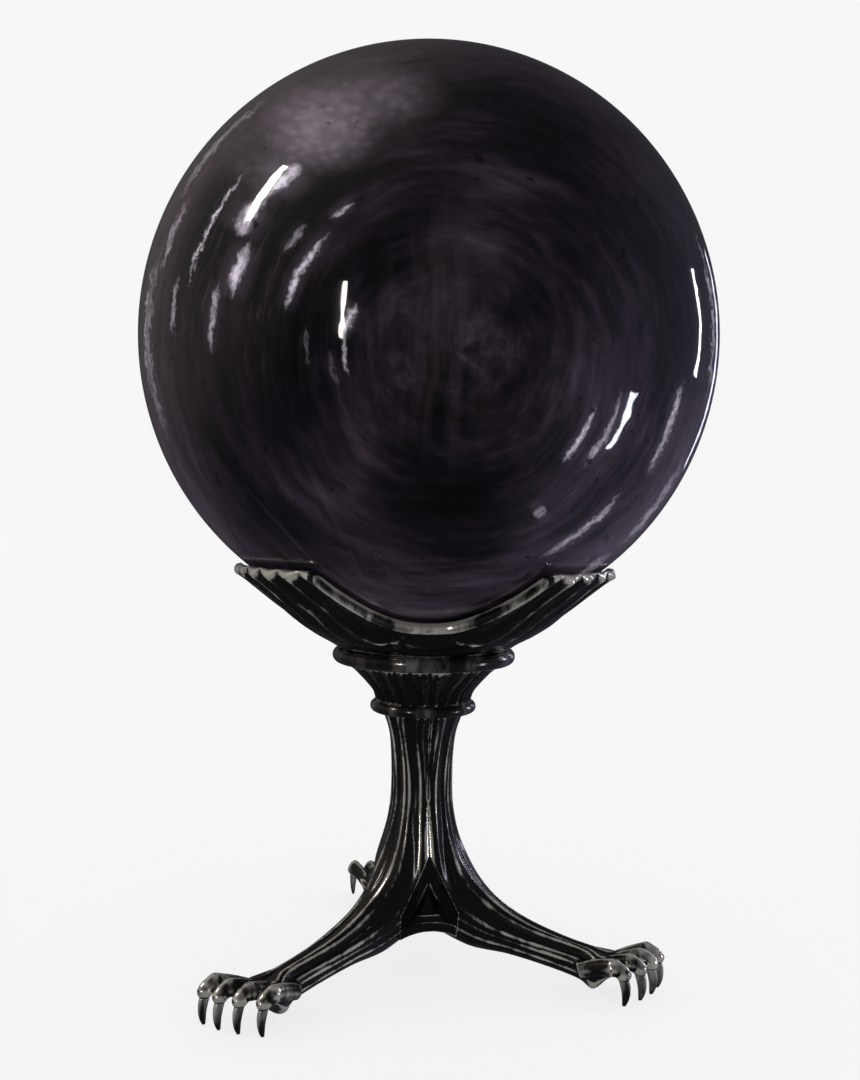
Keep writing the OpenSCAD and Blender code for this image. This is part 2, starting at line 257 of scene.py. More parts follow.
def mark_ridges(obj, spread=3, gain=1.0, fade=1.0):
    """Stores how far each point stands out of its surroundings: 1 on a ridge, 0 in a groove.

    Past a ridge's usual height the mark fades again, so that toes and rims are marked along
    their borders only.
    """
    mesh = obj.data
    n = len(mesh.vertices)
    co = np.empty(n * 3)
    mesh.vertices.foreach_get("co", co)
    co = co.reshape(-1, 3)
    normal = np.empty(n * 3)
    mesh.vertices.foreach_get("normal", normal)
    normal = normal.reshape(-1, 3)
    ends = np.empty(len(mesh.edges) * 2, int)
    mesh.edges.foreach_get("vertices", ends)
    a, b = ends.reshape(-1, 2).T
    count = np.bincount(np.r_[a, b], minlength=n).astype(float)
    count[count == 0] = 1

    def average(v):
        out = np.zeros_like(v)
        np.add.at(out, a, v[b])
        np.add.at(out, b, v[a])
        return (out.T / count).T

    mean = co.copy()
    for _ in range(spread * 3):
        mean = 0.5 * mean + 0.5 * average(mean)
    rise = ((co - mean) * normal).sum(1) / MM
    for _ in range(2):
        rise = 0.5 * rise + 0.5 * average(rise)
    rise *= gain / (np.percentile(np.abs(rise), RIDGE_PERCENTILE) + 1e-6)
    over = np.clip(rise - 1, 0, None)
    ridge = np.clip(0.5 + 0.5 * (np.minimum(rise, 1) - fade * over), 0.25 * (rise > 1), 1)
    mesh.attributes.new("ridge", "FLOAT", "POINT").data.foreach_set("value", ridge)


# ---- materials ----
class Nodes:
    """Short names for building the node tree of a material or of the world."""

    def __init__(self, owner):
        owner.use_nodes = True
        self.owner, self.tree = owner, owner.node_tree
        self.shader = self.tree.nodes.get("Principled BSDF")

    def add(self, kind, **values):
        node = self.tree.nodes.new(kind)
        for key, value in values.items():
            setattr(node, key, value)
        return node

    def link(self, a, b):
        self.tree.links.new(a, b)

    def put(self, socket, value):
        if isinstance(value, bpy.types.NodeSocket):
            self.link(value, socket)
        else:
            socket.default_value = value

    def maths(self, op, a, b=0.0, c=0.0, clamp=False):
        node = self.add("ShaderNodeMath", operation=op, use_clamp=clamp)
        for socket, value in zip(node.inputs, (a, b, c)):
            self.put(socket, value)
        return node.outputs[0]

    def product(self, *values):
        out = values[0]
        for value in values[1:]:
            out = self.maths("MULTIPLY", out, value)
        return out

    def total(self, *values):
        out = values[0]
        for value in values[1:]:
            out = self.maths("ADD", out, value)
        return out

    def vector(self, x, y, z):
        node = self.add("ShaderNodeCombineXYZ")
        for socket, value in zip(node.inputs, (x, y, z)):
            self.put(socket, value)
        return node.outputs[0]

    def fade(self, value, start, end):
        """Smooth step from 0 at start to 1 at end."""
        node = self.add("ShaderNodeMapRange", interpolation_type="SMOOTHSTEP")
        self.link(value, node.inputs["Value"])
        node.inputs["From Min"].default_value, node.inputs["From Max"].default_value = start, end
        return node.outputs[0]

    def ramp(self, value, stops, smooth=False):
        node = self.add("ShaderNodeValToRGB")
        node.color_ramp.interpolation = "EASE" if smooth else "LINEAR"
        els = node.color_ramp.elements
        while len(els) > 1:
            els.remove(els[-1])
        els[0].position, els[0].color = stops[0][0], colour(stops[0][1])
        for at, shade_ in stops[1:]:
            els.new(at).color = colour(shade_)
        self.put(node.inputs[0], value)
        return node.outputs[0]

    def blend(self, share, a, b):
        node = self.add("ShaderNodeMix", data_type="RGBA")
        for socket, value in zip((node.inputs[0], node.inputs[6], node.inputs[7]), (share, a, b)):
            self.put(socket, colour(value) if isinstance(value, tuple) else value)
        return node.outputs[2]

    def noise(self, where, scale, detail=4.0, rough=0.55, warp=0.0):
        node = self.add("ShaderNodeTexNoise")
        node.inputs["Scale"].default_value = scale
        node.inputs["Detail"].default_value = detail
        node.inputs["Roughness"].default_value = rough
        node.inputs["Distortion"].default_value = warp
        self.link(where, node.inputs["Vector"])
        return node.outputs["Fac"]

    def place(self, scale=(1, 1, 1), move=(0, 0, 0)):
        """The object's own coordinates, in metres, scaled and moved."""
        node = self.add("ShaderNodeMapping")
        node.inputs["Scale"].default_value = scale
        node.inputs["Location"].default_value = move
        self.link(self.add("ShaderNodeTexCoord").outputs["Object"], node.inputs["Vector"])
        return node.outputs[0]

    def bump(self, height, strength, distance):
        node = self.add("ShaderNodeBump")
        node.inputs["Strength"].default_value = strength
        node.inputs["Distance"].default_value = distance
        self.link(height, node.inputs["Height"])
        return node.outputs[0]


def colour(v):
    return (v, v, v, 1) if isinstance(v, (int, float)) else (*v[:3], 1)


def cast_metal(name, dark, bright, ridged, rough):
    """Black cast metal, brighter along its ridges and left dull in its grooves: the bright crests are rubbed
    wear and painted highlight in one.
    """
    n = Nodes(bpy.data.materials.new(name))
    where = n.place()
    drawn_out = n.place(scale=(1, 1, 0.25))
    grain = n.noise(where, 900, 5, 0.6)
    cloud = n.noise(drawn_out, 170, 4, 0.6, 0.4)
    streak = n.noise(drawn_out, 420, 3, 0.6, 0.6)
    # base colour brighter on the ridge crests: rubbed wear and painted highlight in one
    if ridged:
        ridge = n.add("ShaderNodeAttribute", attribute_name="ridge").outputs["Fac"]
        wear_and_highlight = n.maths("MULTIPLY_ADD", cloud, 0.9, n.maths("SUBTRACT", ridge, 0.45))
    else:
        wear_and_highlight = n.total(cloud, 0.2)
    share = n.ramp(wear_and_highlight, [(0.66, 0.0), (0.96, 1.0)], True)
    base = n.blend(share, dark, bright)
    base = n.blend(n.product(streak, 0.35), base, (0.004, 0.004, 0.003))
    n.link(base, n.shader.inputs["Base Color"])
    level = n.maths("MULTIPLY_ADD", grain, 0.12, n.maths("MULTIPLY_ADD", share, -0.12, rough + 0.04))
    n.link(n.maths("MAXIMUM", level, 0.08), n.shader.inputs["Roughness"])
    height = n.maths("MULTIPLY_ADD", streak, 0.6, n.product(grain, 0.4))
    n.link(n.bump(height, 0.35, 0.00012), n.shader.inputs["Normal"])
    n.shader.inputs["Metallic"].default_value = 0.75
    n.shader.inputs["Coat Weight"].default_value = 0.5
    n.shader.inputs["Coat Roughness"].default_value = 0.12
    return n.owner


def steel(name):
    """Drawn steel with fine lines across its length."""
    n = Nodes(bpy.data.materials.new(name))
    lines = n.noise(n.place(scale=(1, 1, 6)), 700, 4, 0.6)
    n.link(n.ramp(lines, [(0.3, 0.32), (0.7, 0.5)]), n.shader.inputs["Base Color"])
    n.link(n.maths("MULTIPLY_ADD", lines, 0.2, 0.22), n.shader.inputs["Roughness"])
    n.link(n.bump(lines, 0.2, 0.00005), n.shader.inputs["Normal"])
    n.shader.inputs["Metallic"].default_value = 1.0
    return n.owner


def felt_cloth(name):
    """Dark violet felt."""
    n = Nodes(bpy.data.materials.new(name))
    where = n.place()
    tangle = n.noise(where, 1500, 6, 0.7, 1.2)
    patch = n.noise(where, 160, 3, 0.5)
    base = n.blend(tangle, (0.012, 0.008, 0.018), (0.06, 0.045, 0.075))
    base = n.blend(n.product(patch, 0.4), base, (0.02, 0.016, 0.026))
    n.link(base, n.shader.inputs["Base Color"])
    n.link(n.maths("MULTIPLY_ADD", tangle, 0.1, 0.88), n.shader.inputs["Roughness"])
    n.link(n.bump(tangle, 0.8, 0.0003), n.shader.inputs["Normal"])
    n.shader.inputs["Sheen Weight"].default_value = 0.4
    return n.owner


def clear_glass(name):
    """Thin violet tinted outer glass, with the slight ripple of hand polishing."""
    n = Nodes(bpy.data.materials.new(name))
    n.shader.inputs["Base Color"].default_value = (0.95, 0.93, 0.98, 1)
    n.shader.inputs["Roughness"].default_value = 0.05
    n.shader.inputs["IOR"].default_value = 1.5
    n.shader.inputs["Transmission Weight"].default_value = 1.0
    n.link(n.bump(n.noise(n.place(), 110, 2, 0.5), 0.6, 0.0002), n.shader.inputs["Normal"])
    return n.owner


# The smoke turns round the front-to-back axis, dipped this far down at the front.
SMOKE_TILT = -7.8
# Its finer strands turn round a point a little beside that axis, in radii of the core.
SMOKE_EYE = (0.09, -0.02)
# Where the faint rays spread from.
RAY_SOURCE = (-0.08, -1.12)

# Painted highlights: bright wisps of reflected light painted into the smoke, as arcs round the front-to-back
# axis: distance from the middle in radii, first and last angle from +X, half width in radii, strength.
PAINTED_HIGHLIGHT_WISPS = ((0.745, 127, 136, 0.030, 1.0), (0.745, 133, 147, 0.016, 0.55), (0.755, 142, 151, 0.032, 1.0),
         (0.845, 139, 166, 0.009, 0.8), (0.705, 152, 167, 0.024, 0.9), (0.755, 165, 182, 0.012, 0.6),
         (0.55, 119, 129, 0.012, 0.6), (0.515, 134, 166, 0.016, 0.85), (0.59, 137, 148, 0.014, 0.4),
         (0.295, 152, 172, 0.017, 0.75), (0.300, 165, 200, 0.010, 0.6), (0.965, 162, 200, 0.012, 0.35),
         (0.978, 163, 190, 0.006, 0.6), (0.947, 151, 165, 0.010, 0.55), (0.885, 166, 178, 0.011, 0.55),
         (0.975, 126, 150, 0.010, 0.5), (0.625, -39, -20, 0.013, 0.8), (0.695, -36, -13, 0.013, 0.6),
         (0.885, -28, -8, 0.014, 0.7), (0.845, -60, -37, 0.014, 0.55), (0.975, -44, -23, 0.014, 0.5),
         (0.982, -9, 23, 0.008, 0.7), (0.972, -60, -48, 0.016, 0.5), (0.705, -57, -53, 0.018, 0.5),
         (0.35, 184, 205, 0.012, 0.12), (0.43, 172, 190, 0.010, 0.15))


class Smoke(Nodes):
    """Smoke that turns round the front-to-back axis of the ball, one method to a layer.

    x and z are sideways and up from the middle of the core, in its radii, and deep is backwards.
    """

    def __init__(self, owner):
        super().__init__(owner)
        grow = 1 / ((BALL_R - CASING_T) * MM)
        self.ball = self.place(scale=(grow,) * 3, move=(0, 0, -BALL_Z * MM * grow))
        tilt = self.add("ShaderNodeVectorRotate", rotation_type="X_AXIS")
        self.link(self.ball, tilt.inputs["Vector"])
        tilt.inputs["Angle"].default_value = math.radians(SMOKE_TILT)
        split = self.add("ShaderNodeSeparateXYZ")
        self.link(tilt.outputs[0], split.inputs[0])
        x, y, z = split.outputs
        # the round glass is a lens, so the smoke in the middle is laid out larger
        lens = self.maths("MULTIPLY_ADD", self.total(self.product(x, x), self.product(z, z)), -0.215, 1.245)
        self.x, self.z, self.deep = self.product(x, lens), self.product(z, lens), self.product(y, 0.7)
        self.wander = self.maths("SUBTRACT", self.noise(self.ball, 2.6, 3, 0.5), 0.5)
        self.r, self.ux, self.uz = self.polar(0, 0)
        self.rv, self.vx, self.vz = self.polar(*SMOKE_EYE)

    def polar(self, cx, cz):
        """Distance from (cx, cz), and the direction from there as a cosine and a sine."""
        dx, dz = self.maths("SUBTRACT", self.x, cx), self.maths("SUBTRACT", self.z, cz)
        r = self.maths("SQRT", self.total(self.product(dx, dx), self.product(dz, dz)))
        safe = self.maths("MAXIMUM", r, 0.001)
        return r, self.maths("DIVIDE", dx, safe), self.maths("DIVIDE", dz, safe)

    def bell(self, value, middle, half):
        """1 where value is middle, fading to 0 where it is half more or less."""
        q = self.maths("DIVIDE", self.maths("SUBTRACT", value, middle), half)
        q = self.maths("SUBTRACT", 1.0, self.product(q, q), clamp=True)
        return self.product(q, q)

    def near(self, cx, cz, rx, rz, strength=1.0):
        """strength at (cx, cz), fading to 0 along the ellipse with half axes rx and rz."""
        qx = self.maths("DIVIDE", self.maths("SUBTRACT", self.x, cx), rx)
        qz = self.maths("DIVIDE", self.maths("SUBTRACT", self.z, cz), rz)
        q = self.total(self.product(qx, qx), self.product(qz, qz))
        q = self.maths("SUBTRACT", 1.0, q, clamp=True)
        return self.product(q, q, strength)

    def strands(self, spread, fine, scale, detail, rough):
        """Noise drawn out along the turn of the smoke."""
        r = self.maths("MULTIPLY_ADD", self.wander, 0.10, self.rv)
        where = self.vector(self.maths("MULTIPLY_ADD", self.vx, spread, self.deep),
                            self.product(self.vz, spread), self.product(r, fine))
        return self.noise(where, scale, detail, rough)

    def murk(self, brush):
        """The broad light and dark of the smoke: its strands, made lighter to the right, at the bottom, a
        little above the middle and near the rim, and darker on the left, high on the right and round the
        middle by fixed patches.
        """
        broad = self.strands(1.0, 5.0, 1.1, 4, 0.55)
        light = self.total(self.maths("MULTIPLY_ADD", broad, 0.85, -0.12), self.product(brush, 0.42),
                           self.near(0.72, -0.25, 0.7, 0.8, 0.10), self.near(0.1, -0.95, 1.0, 0.42, 0.12),
                           self.near(0.1, 0.25, 0.5, 0.45, 0.06),
                           self.product(self.bell(self.r, 0.97, 0.16), 0.10))
        dark = self.total(self.near(-0.5, -0.15, 0.33, 0.6, 0.22), self.near(0.1, -0.55, 0.35, 0.45, 0.2),
                          self.near(0.25, 0.72, 0.6, 0.2, 0.12), self.near(0.03, -0.1, 0.07, 0.3, 0.2),
                          self.near(0.0, 0.28, 0.3, 0.12, 0.08))
        return self.ramp(self.maths("SUBTRACT", light, dark),
                         [(0.24, (0.002, 0.0018, 0.0025)), (0.40, (0.0085, 0.007, 0.0098)),
                          (0.54, (0.028, 0.0215, 0.031)), (0.68, (0.075, 0.056, 0.080)),
                          (0.86, (0.17, 0.13, 0.18))])

    def plume(self, base):
        """Paler smoke hanging in the middle."""
        where = self.vector(self.maths("MULTIPLY_ADD", self.wander, 1.5, self.product(self.x, 13)),
                            self.deep, self.product(self.z, 1.3))
        plume = self.ramp(self.noise(where, 1.0, 4, 0.6), [(0.42, 0.0), (0.75, 1.0)])
        return self.blend(self.product(plume, self.near(0.04, 0.05, 0.27, 0.62), 0.8), base,
                          (0.11, 0.085, 0.098))

    def rays(self, base):
        """A fan of faint rays rising from the seat."""
        across = self.product(self.polar(*RAY_SOURCE)[1], 26)
        rays = self.noise(self.vector(across, self.product(self.deep, 0.6), 0.0), 1.0, 2, 0.5)
        rays = self.product(self.ramp(rays, [(0.6, 0.0), (0.74, 1.0)]), self.near(-0.4, -0.72, 0.36, 0.5))
        return self.blend(self.product(rays, 0.4), base, (0.2, 0.17, 0.2))

    def veils(self, base):
        """Long level veils low in the ball, bent down at their ends."""
        level = self.maths("MULTIPLY_ADD", self.product(self.x, self.x), -5.0, self.product(self.z, 17))
        veil = self.noise(self.vector(self.product(self.x, 1.6), self.deep, level), 1.0, 3, 0.6)
        veil = self.product(self.ramp(veil, [(0.5, 0.0), (0.78, 1.0)]), self.near(0.15, -0.86, 0.85, 0.36))
        return self.blend(self.product(veil, 0.55), base, (0.15, 0.112, 0.165))

    def dappled_highlight(self, base):
        """A dappled painted highlight high on the left: a patch of reflected light painted into the smoke.
        """
        fleck = self.add("ShaderNodeTexVoronoi", feature="SMOOTH_F1")
        self.link(self.vector(self.maths("MULTIPLY_ADD", self.x, 15, self.product(self.z, -9)), self.deep,
                              self.maths("MULTIPLY_ADD", self.z, 21, self.product(self.x, 5))),
                  fleck.inputs["Vector"])
        fleck.inputs["Scale"].default_value = 1.9
        dapple = self.ramp(fleck.outputs["Distance"], [(0.05, 1.0), (0.7, 0.0)], True)
        along = self.maths("MULTIPLY_ADD", self.ux, -0.47, self.product(self.uz, 0.88))
        band = self.product(self.bell(self.r, 0.82, 0.20), self.ramp(along, [(0.86, 0.0), (1.0, 1.0)], True))
        patch = self.total(self.near(-0.38, 0.72, 0.24, 0.17, 0.72),
                           self.near(-0.17, 0.82, 0.26, 0.11, 0.34),
                           self.near(-0.54, 0.59, 0.18, 0.13, 0.16), self.product(band, 0.16))
        # painted reflection, broken into dapples
        glow = self.product(self.maths("MULTIPLY_ADD", dapple, 0.38, 0.62), patch)
        return self.blend(glow, base, (0.78, 0.68, 0.80))

    def highlight_wisps(self, base):
        """Painted highlights: hair-fine pale strands at the sides and the bright wisps, reflections of light
        painted into the smoke with a soft painted glow round them. Gives the colour and the wisps' own
        painted light.
        """
        ragged = self.r
        for scale, detail, rough, reach in ((17, 5, 0.7, 0.05), (70, 3, 0.6, 0.022)):
            ragged = self.maths("MULTIPLY_ADD", self.noise(self.ball, scale, detail, rough), reach,
                                self.total(ragged, -reach / 2))
        lights, highlight_halos = [], []
        for r, a0, a1, half, strength in PAINTED_HIGHLIGHT_WISPS:
            mid, reach = math.radians((a0 + a1) / 2), math.radians((a1 - a0) / 2)
            c = self.maths("MULTIPLY_ADD", self.ux, math.cos(mid), self.product(self.uz, math.sin(mid)))
            span = self.fade(c, math.cos(reach * 1.25), math.cos(reach * 0.3))
            taper = self.maths("MULTIPLY_ADD", span, half, 0.1 * half)
            lights.append(self.product(self.bell(ragged, r, taper), span, strength))
            # each broader wisp gets a soft painted glow round it
            if half > 0.011:
                highlight_halos.append(self.product(self.bell(self.r, r, 3.2 * half), span, 0.22 * strength))
        # light is the painted highlight of all wisps, broken up by the spark noise
        spark = self.noise(self.vector(self.product(self.ux, 20), self.product(self.uz, 20),
                                       self.product(self.r, 55)), 1.0, 4, 0.65)
        light = self.maths("MULTIPLY", self.total(*lights),
                           self.ramp(spark, [(0.3, 0.35), (0.6, 1.0)]), clamp=True)
        # pale strands painted where the highlights gather, on the left and low on the right
        highlight_sides = self.total(self.near(-0.68, 0.2, 0.5, 0.55), self.near(0.7, -0.35, 0.42, 0.5))
        highlight_hair = self.ramp(self.strands(2.4, 60, 1.5, 3, 0.6), [(0.58, 0.0), (0.78, 1.0)])
        base = self.blend(self.product(highlight_hair, highlight_sides, 0.16), base, (0.6, 0.52, 0.64))
        base = self.blend(self.total(*highlight_halos), base, (0.45, 0.38, 0.5))
        return self.blend(light, base, (0.97, 0.92, 1.0)), light

    def soot(self, base):
        """Dark specks along the turn of the smoke."""
        where = self.vector(self.product(self.vx, 9), self.maths("MULTIPLY_ADD", self.vz, 9, self.deep),
                            self.product(self.rv, 20))
        soot = self.ramp(self.noise(where, 1.6, 2, 0.5), [(0.66, 0.0), (0.72, 1.0)])
        return self.blend(self.product(soot, self.bell(self.r, 0.72, 0.4), 0.75), base,
                          (0.003, 0.0025, 0.0035))


def smoke_glass(name):
    """Dark glass filled with turning smoke, with painted highlights as bright wisps that glow a little,
    though the ball is no lamp.
    """
    n = Smoke(bpy.data.materials.new(name))
    brush = n.strands(1.6, 22, 1.3, 4, 0.6)
    base = n.dappled_highlight(n.veils(n.rays(n.plume(n.murk(brush)))))
    base, light = n.highlight_wisps(base)
    n.link(n.soot(base), n.shader.inputs["Base Color"])
    # the painted highlight wisps glow as well: painted light
    n.link(n.blend(n.product(light, light), (0.0, 0.0, 0.0), (0.62, 0.57, 0.66)),
           n.shader.inputs["Emission Color"])
    n.shader.inputs["Emission Strength"].default_value = 1.0
    n.link(n.maths("MULTIPLY_ADD", brush, 0.2, 0.35), n.shader.inputs["Roughness"])
    n.shader.inputs["Specular IOR Level"].default_value = 0.0
    return n.owner


# the bright colours are the crests' rubbed wear and painted highlight
IRON = cast_metal("black_cast_iron", (0.013, 0.0125, 0.011), (0.95, 0.92, 0.83), True, 0.17)
RING_IRON = cast_metal("turned_black_iron", (0.016, 0.0155, 0.014), (0.3, 0.285, 0.255), False, 0.11)
CLAW_IRON = cast_metal("claw_iron", (0.022, 0.0215, 0.02), (0.8, 0.78, 0.74), True, 0.16)
STEEL = steel("rod_steel")
FELT = felt_cloth("felt")
CLEAR = clear_glass("violet_glass")
SMOKE = smoke_glass("smoke_glass")


def piece(obj, body, nodes, mat, angle=45):
    """Finishes and attaches a piece that stands for CAD nodes, and hides those nodes."""
    shade(obj, angle)
    obj.data.materials.clear()
    obj.data.materials.append(mat)
    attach(obj, body)
    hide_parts(*nodes)
    return obj


# ---- ball ----
def ball_of(name, r, inner=None, rings=128, around=256):
    bm = bmesh.new()
    bmesh.ops.create_uvsphere(bm, u_segments=around, v_segments=rings, radius=r * MM)
    if inner:
        made = bmesh.ops.create_uvsphere(bm, u_segments=around, v_segments=rings, radius=inner * MM)
        faces = {f for v in made["verts"] for f in v.link_faces}
        bmesh.ops.reverse_faces(bm, faces=list(faces))
    bmesh.ops.translate(bm, verts=bm.verts, vec=(0, 0, BALL_Z * MM))
    return from_bmesh(name, bm)


piece(ball_of("glass_casing_fine", BALL_R, BALL_R - CASING_T), "ball", ["glass_casing"],
      CLEAR, 180)
piece(ball_of("smoke_core_fine", BALL_R - CASING_T + CORE_PRESS), "ball", ["smoke_core"],
      SMOKE, 180)


def felt_ring():
    """A ring of felt between two spheres, with soft rims and a fibrous skin."""
    t0, t1 = (math.degrees(math.asin(r / FELT_MID)) for r in (FELT_IN, FELT_OUT))
    outline = []
    for i in range(25):
        t = mix(t0, t1, i / 24)
        outline.append((FELT_R1 * sind(t), BALL_Z - FELT_R1 * cosd(t)))
    for i in range(25):
        t = mix(t1, t0, i / 24)
        outline.append((FELT_R0 * sind(t), BALL_Z - FELT_R0 * cosd(t)))
    obj = soft_edges(lathe("felt_ring", outline, 180), 0.35, 60)
    rng = np.random.default_rng(7)
    for v in obj.data.vertices:
        v.co += v.normal * float(rng.uniform(-0.07, 0.0)) * MM
    piece(obj, "pad", ["seat_felt"], FELT, 60)


felt_ring()


# ---- cup ----
def off_wing(a):
    """Angle to the middle of the nearest wing."""
    return abs((a + 60) % 120 - 60)


def rim_angle(a):
    """How far up the bowl the rim stands, from straight down."""
    return mix(DIP_ANGLE, WING_ANGLE,
               (1 - clip((off_wing(a) - WING_HALF) / (60 - WING_HALF))) ** 3)


def rib_phase(a, t, u):
    """0 in the middle of a wing and 1 along its edge, so that ribs follow the rim."""
    side = off_wing(a)
    if t > DIP_ANGLE:
        rise = clip((t - DIP_ANGLE) / (WING_ANGLE - DIP_ANGLE)) ** (1 / 3)
        edge = WING_HALF + (60 - WING_HALF) * (1 - rise)
    else:
        edge = 60 + 5 * (DIP_ANGLE - t)
    dip = clip((side - WING_HALF) / (60 - WING_HALF))
    return side / edge - 0.4 * dip ** 2 * (1 - u)


def wing_rib(a, t, u):
    """Height of the ribs at angle a round the cup, t up the bowl and u along the wing."""
    f = rib_phase(a, t, u)
    wave = math.cos(math.pi * WING_RIBS * (f + 1))
    crest = 0.5 * math.copysign(abs(wave) ** 0.8, wave) - 0.12
    fine = math.cos(3 * math.pi * WING_RIBS * (f + 1) + 0.8 * math.sin(9 * u + 0.05 * a))
    return (WING_RIB_D * crest + 0.1 * fine) * min(1, 2.5 * u)


def rim_spare(a):
    """The wall thins to the lip along the whole rim, in the dips as well."""
    return smooth_look(WING, rim_angle(a)) - BOWL_R - LIP_T


def cup():
    steps, rows = 720, 56
    angles = [360 * i / steps for i in range(steps)]

    def at(a, t, r):
        return (r * sind(t) * cosd(a), r * sind(t) * sind(a), BALL_Z - r * cosd(t))

    rings = [[(r * cosd(a), r * sind(a), CUP_FLOOR_Z) for a in angles] for r in (6.0, 14.0, 20.0)]
    for k in range(rows + 1):
        u = k / rows
        ring = []
        for a in angles:
            t = mix(WING[0][0], rim_angle(a), u)
            lip = 0.4 * math.exp(-((1 - u) / 0.06) ** 2) - rim_spare(a) * u ** 1.5
            ring.append(at(a, t, smooth_look(WING, t) + wing_rib(a, t, u) + lip))
        rings.append(ring)
    for k in range(1, 6):
        ring = []
        for a in angles:
            t = rim_angle(a)
            outer = smooth_look(WING, t) + wing_rib(a, t, 1) + 0.4 - rim_spare(a)
            ring.append(at(a, t + 0.55 * math.sin(math.pi * k / 6), mix(outer, BOWL_R, k / 6)))
        rings.append(ring)
    for k in range(31):
        rings.append([at(a, mix(rim_angle(a), 4.6, k / 30), BOWL_R) for a in angles])
    spigot = bore(SPIGOT_R, CUP_FLOOR_Z - SPIGOT_DOWN, CUP_FLOOR_Z + 1, steps=96)
    obj = weld(skin("cup_fine", rings), spigot)
    t0, t1 = (math.degrees(math.asin(r / FELT_SEAT_R)) for r in (FELT_IN - FELT_GAP, FELT_OUT + FELT_GAP))
    seat = [(FELT_SEAT_R * sind(t), BALL_Z - FELT_SEAT_R * cosd(t))
            for t in (mix(t0, t1, i / 12) for i in range(13))]
    cut(obj, [bore(ROD_R + FIT, 60, 130), bore(WASHER_R + 0.4, TOP_SEAT_Z, 130),
              lathe("tool", seat + [(FELT_OUT + FELT_GAP, 130), (FELT_IN - FELT_GAP, 130)], 96)])
    turned(obj, LEG_TURN + CUP_TURN)
    mark_ridges(obj, 3, 1.5)
    piece(obj, "stand", ["cup"], IRON)


cup()


# ---- collars and capital ----
def collar(node, r, t, z, hole):
    """A turned ring with a half round rim, t half thick, its middle at height z."""
    arc = [(r - t + t * cosd(a), z + t * sind(a)) for a in range(-90, 91, 9)]
    obj = lathe(f"{node}_fine", [(hole, z - t)] + arc + [(hole, z + t)], 256)
    piece(obj, "stand", [node], RING_IRON, 60)


collar("upper_collar", UPPER_R, UPPER_T, CUP_FLOOR_Z - UPPER_T, SPIGOT_R + FIT)
collar("lower_collar", LOWER_R, LOWER_T, STEM_Z + LOWER_T, NECK_R + FIT)


def capital():
    steps, rows = 720, 30
    rings = []
    for k in range(rows + 1):
        u = k / rows
        ring = []
        for i in range(steps):
            a = 360 * i / steps
            sway = 2.5 * math.sin(3 * u + 1.3 * sind(5 * a))
            wave = abs(cosd(FLUTES / 2 * (a + sway)))
            flute = FLUTE_D * (1 - wave) ** 0.8 - 0.06 * cosd(3 * FLUTES * (a + sway))
            r = smooth_look(CAPITAL, u) - flute
            ring.append((r * cosd(a), r * sind(a), mix(CAPITAL_Z0, CAPITAL_Z1, u)))
        rings.append(ring)
    obj = cut(skin("capital_fine", rings),
              [bore(ROD_R + FIT, 60, 100), bore(NECK_R + FIT, 60, CAPITAL_Z0 + NECK_UP + FIT),
               bore(SPIGOT_R + FIT, CUP_FLOOR_Z - SPIGOT_DOWN - FIT, 100)])
    mark_ridges(obj, 3, 1.5)
    piece(obj, "stand", ["capital"], IRON)


capital()


# ---- legs ----
def leg_ring(s, steps, at):
    """A ring of points round one row of LEG. The row holds the outline's top and its underside,
    half its width, and how far it has turned from a third of the stem (0) into an oval limb (1).
    """
    top, under = np.array([s[0], s[1]]), np.array([s[2], s[3]])
    reach = float(np.linalg.norm(top - under))
    e = (top - under) / reach
    wide = SECTOR + 4
    end = reach * np.array([cosd(wide), sind(wide)])
    ring = []
    for i in range(steps):
        th = 360 * i / steps - 180
        a, phi = abs(th), th / ARC_KNEE * wide
        if a <= ARC_KNEE:
            share = reach * np.array([cosd(phi), sind(phi)])
        else:
            share = np.array([end[0], math.copysign(end[1], th)]) * (1 - (a - ARC_KNEE) / (180 - ARC_KNEE))
        oval = np.array([reach / 2 * (1 + cosd(th)), s[4] * sind(th)])
        push = mix(phi, th, s[5])
        rib = 0.0
        if a <= ARC_KNEE:
            sway = 3.0 * math.sin(0.9 * at + 1.0) + 2.0 * math.sin(2.3 * at)
            f = (th + sway) / ARC_KNEE + 1
            wave = abs(math.cos(math.pi / 2 * LEG_RIBS * f - math.pi / 2))
            fine = 1 - math.cos(3 * math.pi * LEG_RIBS * f + 1.5 * math.sin(1.7 * at))
            rib = -(LEG_RIB_D * (1 - wave) ** 0.9 + 0.06 * fine) * clip((ARC_KNEE - a) / 14)
        q = mix(share, oval, s[5]) + rib * np.array([cosd(push), sind(push)])
        ring.append((under[0] + q[0] * e[0], -q[1], under[1] + q[0] * e[1]))
    return ring


def toe_side(n):
    """Sideways place of toe n."""
    return (n - 2.5) * TOE_PITCH


def toe_set(n, hand=1):
    """The left foot is the mirror image (hand -1) of the other two."""
    return hand * (n - 2.5) * TOE_SKEW - (TOE_BACK if abs(n - 2.5) > 1 else 0.0)


def toe(n, fine=8, around=24):
    """A toe with a raised knuckle, bent down to the root of its claw."""
    rings = []
    for k in range(fine * (len(TOE) - 1) + 1):
        u = k / fine
        s = through(TOE, u)
        d = (through(TOE, min(len(TOE) - 1, u + 0.1)) - through(TOE, max(0, u - 0.1)))[:2]
        e = d / np.linalg.norm(d)
        y, x = toe_side(n) * mix(0.62, 1, clip(u / 2)), s[0] + toe_set(n)
        knuckle = 0.32 * math.exp(-((u - 2.2) / 0.35) ** 2) + 0.15 * math.exp(-((u - 4.1) / 0.3) ** 2)
        ring = []
        for i in range(around):
            t = 360 * i / around
            keel = knuckle * max(0, cosd(t)) ** 3
            r = s[2] * (1 - 0.1 * max(0, cosd(t)) * abs(sind(t))) + keel
            ring.append((x - r * cosd(t) * e[1], y - 0.94 * r * sind(t), s[1] + r * cosd(t) * e[0]))
        rings.append(ring)
    return skin("toe", rings)


